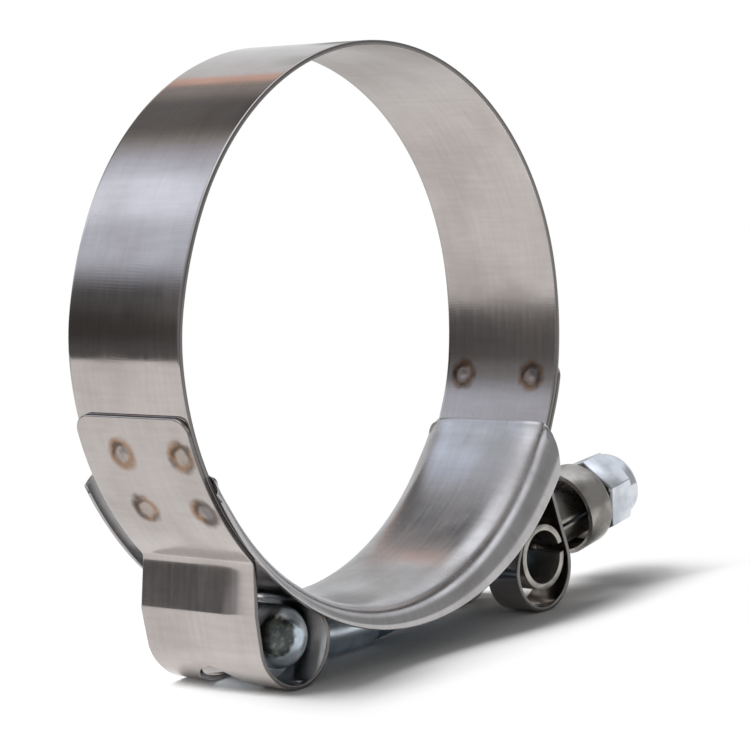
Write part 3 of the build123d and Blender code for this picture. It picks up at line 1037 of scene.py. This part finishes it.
def partFinish(name, look):
    material, tree, shader = metalMaterial(name)
    where = place(tree, "ShaderNodeTexCoord").outputs["Object"]
    clouds = noise(tree, where, look["cloudScale"], 5.0)
    fine = noise(tree, where, look["fineScale"], 3.0)
    pitInputs = {"Vector": where, "Cell": look["pitCell"], "Size": look["pitSize"], "Share": look["pitShare"]}
    pits = useGroup(tree, specks, pitInputs)["Mask"]
    lines = fineLines(tree, where, look["lines"], 2.0)
    colour = mixColour(tree, rescale(tree, clouds, *look["cloudMix"]), look["bright"], look["dull"])
    colour = mixColour(tree, calc(tree, "MULTIPLY", pits, look["pits"]), colour, look["dark"])
    # painted shade on the head's end
    if "endShade" in look:
        colour = addEndShade(tree, where, fine, colour, look["endShade"])
    # painted shade where the nut bears on the collar
    if "seatShade" in look:
        colour = addSeatShade(tree, where, colour, look)
    rough = rescale(tree, clouds, *look["roughClouds"], *look["roughness"])
    rough = addShare(tree, rough, fine, look["fineRough"], middle=0.5)
    dressShader(tree, shader, colour, rough, addShare(tree, fine, lines, look["lineDepth"]), look)
    return material


def makeThreadTree():
    tree = bpy.data.node_groups.new("threadedRod", "GeometryNodeTree")
    tree.is_modifier = True
    floats = (
        "Length", "Pitch", "Crest Radius", "Root Radius", "Fade", "End Chamfer", "Bend Length", "Bend Radius",
    )
    for kind, socketNames in (("Float", floats), ("Int", ("Sides", "Rows")), ("Material", ("Material",))):
        for name in socketNames:
            tree.interface.new_socket(name=name, in_out="INPUT", socket_type="NodeSocket" + kind)
    tree.interface.new_socket(name="Geometry", in_out="OUTPUT", socket_type="NodeSocketGeometry")
    given = tree.nodes.new("NodeGroupInput").outputs
    out = tree.nodes.new("NodeGroupOutput")

    def number(operation, *values, clamp=False):
        return calc(tree, operation, *values, clamp=clamp)

    around = number("ADD", given["Sides"], 1)
    grid = place(tree, "GeometryNodeMeshGrid", {"Vertices X": around, "Vertices Y": given["Rows"]})
    spread = place(tree, "ShaderNodeSeparateXYZ", {0: grid.outputs["UV Map"]}).outputs
    step = number("DIVIDE", 1.0, number("SUBTRACT", given["Rows"], 1))
    inner = number("SUBTRACT", 1.0, number("MULTIPLY", step, 2.0))
    body = number("DIVIDE", number("SUBTRACT", spread[1], step), inner, clamp=True)
    along = number("MULTIPLY", body, given["Length"])
    # The thread's groove
    phase = number("FRACT", number("SUBTRACT", number("DIVIDE", along, given["Pitch"]), spread[0]))
    flank = number("ABSOLUTE", number("SUBTRACT", number("MULTIPLY", phase, 2.0), 1.0))
    shape = rescale(tree, flank, *bolt["flank"], kind="LINEAR")
    sunk = number("MULTIPLY", number("SUBTRACT", 1.0, shape), rescale(tree, along, 0.0, given["Fade"]))
    deep = number("SUBTRACT", given["Crest Radius"], given["Root Radius"])
    radius = number("SUBTRACT", given["Crest Radius"], number("MULTIPLY", deep, sunk))
    left = number("SUBTRACT", given["Length"], along)
    cone = number("ADD", number("SUBTRACT", given["Crest Radius"], given["End Chamfer"]), left)
    radius = number("MINIMUM", radius, cone)
    # The first and last rows close the ends
    fromMiddle = number("ABSOLUTE", number("SUBTRACT", spread[1], 0.5))
    inside = number("LESS_THAN", fromMiddle, number("SUBTRACT", 0.5, number("MULTIPLY", step, 0.5)))
    radius = number("MULTIPLY", radius, inside)
    angle = number("MULTIPLY", spread[0], 2 * math.pi)
    sideways = number("MULTIPLY", radius, number("COSINE", angle))
    upward = number("MULTIPLY", radius, number("SINE", angle))
    # The start of the thread lies in the neck's bend
    back = number("MAXIMUM", number("SUBTRACT", given["Bend Length"], along), 0.0)
    turn = number("DIVIDE", back, given["Bend Radius"])
    spoke = number("SUBTRACT", given["Bend Radius"], upward)
    ahead = number("MAXIMUM", along, given["Bend Length"])
    forward = number("SUBTRACT", ahead, number("MULTIPLY", spoke, number("SINE", turn)))
    height = number("SUBTRACT", given["Bend Radius"], number("MULTIPLY", spoke, number("COSINE", turn)))
    position = place(tree, "ShaderNodeCombineXYZ", {0: forward, 1: sideways, 2: height}).outputs[0]
    mesh = place(tree, "GeometryNodeSetPosition", {"Geometry": grid.outputs["Mesh"], "Position": position})
    mergeInputs = {"Geometry": mesh.outputs[0], "Distance": joinWithin["shell"]}
    mesh = place(tree, "GeometryNodeMergeByDistance", mergeInputs)
    mesh = place(tree, "GeometryNodeSetShadeSmooth", {"Geometry": mesh.outputs[0]})
    mesh = place(tree, "GeometryNodeRealizeInstances", {"Geometry": mesh.outputs[0]})
    coating = {"Geometry": mesh.outputs[0], "Material": given["Material"]}
    mesh = place(tree, "GeometryNodeSetMaterial", coating)
    tree.links.new(mesh.outputs[0], out.inputs["Geometry"])
    return tree


def makeThread(material):
    bendLength = bolt["bendRadius"] * math.radians(bolt["threadBend"])
    length = bolt["end"] - bendStart + bendLength
    piece = newPiece("boltThread", bpy.data.meshes.new("boltThread"), material)
    modifier = piece.modifiers.new("thread", "NODES")
    modifier.node_group = makeThreadTree()
    sockets = modifier.node_group.interface.items_tree
    values = {
        "Length": length, "Pitch": bolt["pitch"], "Crest Radius": bolt["crest"], "Root Radius": bolt["root"],
        "Fade": bolt["fade"], "End Chamfer": bolt["chamfer"], "Bend Length": bendLength,
        "Bend Radius": bolt["bendRadius"], "Sides": bolt["sides"],
        "Rows": round(length / bolt["pitch"] * bolt["rowsPerTurn"]), "Material": material,
    }
    for name, value in values.items():
        modifier[sockets[name].identifier] = value
    applied(piece)
    base = barrelPoint + boltWay * (bendStart - bendLength)
    columns = Matrix(((boltWay[0], 0, boltUp[0]), (0, 1, 0), (boltWay[1], 0, boltUp[1]))).to_4x4()
    piece.data.transform(Matrix.Translation((base[0], 0, base[1])) @ columns)
    work = bmesh.new()
    work.from_mesh(piece.data)
    finishMesh(work, piece.data, bolt["threadSharpAngle"])
    return piece


def makeNeck(material):  # the T head and the bent neck, up to the thread
    work = mergedCopy("t_bolt")
    centre = barrelPoint + boltWay * bendStart + boltUp * bolt["bendRadius"]
    cutAngle = bolt["threadBend"] + bolt["neckOverlap"]
    cut = centre + unit(bolt["slope"] - 90 - cutAngle) * bolt["bendRadius"]
    way = unit(bolt["slope"] - cutAngle)
    found = bmesh.ops.bisect_plane(
        work, geom=work.verts[:] + work.edges[:] + work.faces[:],
        plane_co=(cut[0], 0, cut[1]), plane_no=(way[0], 0, way[1]), clear_outer=True,
    )
    rim = [e for e in found["geom_cut"] if isinstance(e, bmesh.types.BMEdge)]
    bmesh.ops.edgenet_fill(work, edges=rim)
    mesh = finishMesh(work, bpy.data.meshes.new("boltHead"), bolt["neckSharpAngle"])
    return newPiece("boltHead", mesh, material)


boltZinc = partFinish("boltZinc", boltLook)
# the head and neck take the lighter, painted-highlight copy of the zinc
neck = makeNeck(partFinish("headZincLit", headLitLook))
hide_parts("t_bolt")
thread = makeThread(boltZinc)
for piece in (neck, thread):
    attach(piece, "t_bolt")
print("bolt made,", len(thread.data.polygons), "faces in its thread")

dressedPieces = {
    "trunnion": ("trunnionBarrel", "trunnion_steel", "trunnion", trunnionLook, 0.12 * mm),
    "collar": ("collarCup", "collar_steel", "trunnion", collarLook, 0.1 * mm),
    "lock_nut": ("lockNut", "nut_zinc", "nut", nutLook, 0.14 * mm),
}
bevelAngle = 38
for node, (name, slot, body, look, edgeRound) in dressedPieces.items():
    piece = bevelledCopy(node, name, partFinish(name + "Finish", look), edgeRound, bevelAngle)
    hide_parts(node)
    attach(piece, body)
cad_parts["nylon_insert"].material_slots[0].material = partFinish("nylonFinish", nylonLook)
print("trunnion, collar and nut dressed")


# Floor, studio tent, lamps and camera
studio = {
    "floorSize": 8.0,
    "floorColour": (0.92, 0.92, 0.92),
    "shadowCentre": (0.014, -0.006),
    "white": (0.034, 0.060),  # the floor turns pure white between these distances from that point
    "frontWay": (0.12, -0.993, 0.0),
    "front": (0.016, 0.025),  # and between these distances that way, in front of the shadow
    "greyWay": (0.6, 0.8, 0.0),
    "greyFrom": (0.05, 0.14),  # the steel sees the floor greyer from here that way
    "greyTo": (0.45, 0.9),
    "greyLevel": 0.71,
    "tentRadius": 1.3,
    "tentNear": 0.38,  # its foot on the left stands closer
    "tentDepth": 2.4,
    "tentSteps": 90,
    "middleSlope": (0.60, 0.76),  # the near tent gives way to the middle one between these slopes
    "farSlope": (0.885, 0.912),  # and that to the far one
    "roomSlope": (0.10, 0.45),  # towards the camera the tent ends and the room starts between these
    "cameraSide": (-0.741, -0.661, 0.0),
    "roomFloor": (0.16, 0.30),
    "roomSky": (0.02, 0.30),
    "roomDark": 0.42,
    "ambient": 0.20,
    "keyPower": 16.5,
    "keySize": 0.75,
    "keyPlace": (-0.38, 0.45, 0.81),
}
# What the bright steel shows of the tent, by the angle round from +X in degrees. soft is for each side.
tentSheet = (0.81, 0.825, 0.84)
farPanels = {
    "copperEdge": {"from": 52.5, "to": 62.0, "soft": (1.4, 1.4), "colour": (0.90, 0.60, 0.50)},
    "warmFlag": {"from": 58.0, "to": 104.0, "soft": (2.2, 4.0), "colour": (0.38, 0.355, 0.34)},
    "warmFlagCore": {"from": 67.5, "to": 90.0, "soft": (5.5, 6.0), "colour": (0.195, 0.19, 0.19)},
    "softbox": {"from": 98.0, "to": 160.0, "soft": (9.0, 2.0), "colour": (0.84, 0.91, 1.05)},
    "softboxCore": {"from": 109.0, "to": 128.0, "soft": (5.0, 5.0), "colour": (1.22, 1.33, 1.54)},
    "darkFlag": {"from": 145.7, "to": 200.0, "soft": (6.5, 2.0), "colour": (0.12, 0.12, 0.125)},
    "darkFlagCore": {"from": 157.0, "to": 172.0, "soft": (5.0, 4.0), "colour": (0.072, 0.067, 0.066)},
}
# The bridge and the ring's inner face look at its middle stretch
middlePanels = farPanels | {
    "lowGrey": {"from": -9.0, "to": 16.0, "soft": (1.0, 5.0), "colour": (0.25, 0.25, 0.255)},
    "smudge": {"from": 35.5, "to": 46.0, "soft": (3.0, 2.5), "colour": (0.61, 0.62, 0.63)},
    "warmFlagCore": {"from": 69.0, "to": 90.0, "soft": (6.0, 5.0), "colour": (0.07, 0.067, 0.067)},
    "softbox": {"from": 98.0, "to": 160.0, "soft": (9.0, 2.0), "colour": (0.67, 0.72, 0.83)},
    "softboxCore": {"from": 109.0, "to": 120.0, "soft": (4.0, 5.0), "colour": (0.82, 0.90, 1.04)},
    "darkFlag": {"from": 147.0, "to": 200.0, "soft": (9.0, 2.0), "colour": (0.28, 0.28, 0.28)},
    "darkFlagCore": {"from": 161.0, "to": 184.0, "soft": (4.0, 3.0), "colour": (0.14, 0.137, 0.137)},
}
# Nearer the clamp the tent is another one, which its rolled edges and small parts show
nearSheet = (0.88, 0.90, 0.93)
nearPanels = {
    "overhead": {"from": 54.0, "to": 122.0, "soft": (7.0, 7.0), "colour": (1.50, 1.54, 1.62)},
    "leftWall": {"from": 140.0, "to": 200.0, "soft": (12.0, 2.0), "colour": (0.28, 0.28, 0.29)},
}


def seenRays(tree):  # rays that look at the background, and those of them that come off the steel
    rays = tree.nodes.new("ShaderNodeLightPath").outputs
    seen = calc(tree, "MAXIMUM", rays["Is Camera Ray"], rays["Is Glossy Ray"])
    return calc(tree, "MAXIMUM", seen, rays["Is Transmission Ray"]), rays["Is Glossy Ray"]


def dimmed(tree, mask, level):  # 1, and this level where the mask is 1
    return rescale(tree, mask, 0.0, 1.0, 1.0, level, kind="LINEAR")


def makeFloor():
    size, low = studio["floorSize"] / 2, cadBox[0][2]
    corners = [(-size, -size, low), (size, -size, low), (size, size, low), (-size, size, low)]
    mesh = bpy.data.meshes.new("studioFloor")
    mesh.from_pydata(corners, [], [(0, 1, 2, 3)])
    material, tree = emptyMaterial("studioFloor")
    paper = place(tree, "ShaderNodeBsdfDiffuse", {"Color": (*studio["floorColour"], 1)})
    seen, glossy = seenRays(tree)
    where = tree.nodes.new("ShaderNodeTexCoord").outputs["Object"]
    away = vectorCalc(tree, "DISTANCE", where, (*studio["shadowCentre"], low))
    front = vectorCalc(tree, "DOT_PRODUCT", where, studio["frontWay"])
    white = rescale(tree, away, *studio["white"])
    white = calc(tree, "MAXIMUM", white, rescale(tree, front, *studio["front"]))
    side = vectorCalc(tree, "DOT_PRODUCT", where, studio["cameraSide"])
    unlit = calc(tree, "MULTIPLY", rescale(tree, side, *studio["roomFloor"]), glossy)
    along = vectorCalc(tree, "DOT_PRODUCT", where, studio["greyWay"])
    grey = calc(tree, "MULTIPLY", between(tree, along, studio["greyFrom"], studio["greyTo"]), glossy)
    unlitLevel, greyLevel = dimmed(tree, unlit, studio["roomDark"]), dimmed(tree, grey, studio["greyLevel"])
    glow = place(tree, "ShaderNodeEmission", {"Strength": calc(tree, "MULTIPLY", unlitLevel, greyLevel)})
    factor = calc(tree, "MULTIPLY", white, seen)
    showShader(tree, place(tree, "ShaderNodeMixShader", {0: factor, 1: paper.outputs[0], 2: glow.outputs[0]}))
    newPiece("studioFloor", mesh, material)


def tentColour(tree, angle, sheet, panels):
    colour = sheet
    for panel in panels.values():
        before, after = panel["soft"]
        rise = (panel["from"] - before, panel["from"] + before)
        fall = (panel["to"] - after, panel["to"] + after)
        colour = mixColour(tree, between(tree, angle, rise, fall), colour, panel["colour"])
    return colour


def makeTent():  # a half round of panels, seen only by the steel
    depth, low, count = studio["tentDepth"], cadBox[0][2], studio["tentSteps"]
    points = []
    for k in range(count + 1):
        near = max(0.0, k / count * 3 - 2) ** 0.5  # the last third comes closer
        spoke = unit(180 * k / count) * (studio["tentRadius"] * (1 - near) + studio["tentNear"] * near)
        points += [(spoke[0], -depth, spoke[1] + low), (spoke[0], depth, spoke[1] + low)]
    faces = [(2 * k, 2 * k + 1, 2 * k + 3, 2 * k + 2) for k in range(count)]
    mesh = bpy.data.meshes.new("studioTent")
    mesh.from_pydata(points, [], faces)
    material, tree = emptyMaterial("studioTent")
    where = tree.nodes.new("ShaderNodeTexCoord").outputs["Object"]
    where = place(tree, "ShaderNodeSeparateXYZ", {0: where}).outputs
    rise = calc(tree, "MAXIMUM", calc(tree, "SUBTRACT", where[2], low), 0.0)
    angle = calc(tree, "MULTIPLY", calc(tree, "ARCTAN2", rise, where[0]), 180 / math.pi)
    squared = calc(tree, "MULTIPLY_ADD", rise, rise, calc(tree, "MULTIPLY", where[0], where[0]))
    slope = calc(tree, "DIVIDE", where[1], calc(tree, "SQRT", squared))
    colour = tentColour(tree, angle, nearSheet, nearPanels)
    for slopes, panels in ((studio["middleSlope"], middlePanels), (studio["farSlope"], farPanels)):
        further = tentColour(tree, angle, tentSheet, panels)
        colour = mixColour(tree, rescale(tree, slope, *slopes), colour, further)
    room = rescale(tree, calc(tree, "MULTIPLY", slope, -1.0), *studio["roomSlope"])
    colour = mixColour(tree, room, colour, (studio["roomDark"],) * 3)
    showShader(tree, place(tree, "ShaderNodeEmission", {"Color": colour}))
    tent = newPiece("studioTent", mesh, material)
    tent.visible_camera = False
    tent.visible_diffuse = False
    tent.visible_shadow = False


def makeLight():
    world = bpy.data.worlds.new("studio")
    bpy.context.scene.world = world
    world.use_nodes = True
    tree = world.node_tree
    tree.nodes.clear()
    seen, glossy = seenRays(tree)
    way = tree.nodes.new("ShaderNodeTexCoord").outputs["Generated"]
    side = vectorCalc(tree, "DOT_PRODUCT", way, studio["cameraSide"])
    unlit = calc(tree, "MULTIPLY", rescale(tree, side, *studio["roomSky"]), glossy)
    shown = dimmed(tree, unlit, studio["roomDark"])
    levels = {0: seen, 2: studio["ambient"], 3: shown}
    level = place(tree, "ShaderNodeMix", levels, data_type="FLOAT").outputs[0]
    sky = place(tree, "ShaderNodeBackground", {"Color": (1, 1, 1, 1), "Strength": level})
    showShader(tree, sky, "ShaderNodeOutputWorld")
    lamp = bpy.data.lights.new("softbox", "AREA")
    lamp.shape = "SQUARE"
    lamp.size = studio["keySize"]
    lamp.energy = studio["keyPower"]
    key = bpy.data.objects.new("softbox", lamp)
    bpy.context.scene.collection.objects.link(key)
    key.location = studio["keyPlace"]
    key.rotation_euler = (-Vector(studio["keyPlace"])).to_track_quat("-Z", "Y").to_euler()
    key.visible_glossy = False


def makeCamera():
    view = {
        "right": (0.65700619, -0.75036149, -0.07280456),
        "up": (0.13680415, 0.02369759, 0.99031462),
        "back": (-0.74136866, -0.66060281, 0.11822203),
        "eye": (-277.6476 * mm, -254.7269 * mm, 37.9398 * mm),
        "focusPixels": 2972.53,
        "picturePixels": 750,
        "sensor": 36.0,
        "nearest": 0.01,
    }
    data = bpy.data.cameras.new("camera")
    data.sensor_width = view["sensor"]
    data.lens = view["focusPixels"] * view["sensor"] / view["picturePixels"]
    data.clip_start = view["nearest"]
    camera = bpy.data.objects.new("camera", data)
    bpy.context.scene.collection.objects.link(camera)
    turn = Matrix((view["right"], view["up"], view["back"])).transposed().to_4x4()
    camera.matrix_world = Matrix.Translation(view["eye"]) @ turn
    bpy.context.scene.camera = camera


makeFloor()
makeTent()
makeLight()
makeCamera()
bpy.context.scene.view_settings.view_transform = "Standard"
print("studio set")
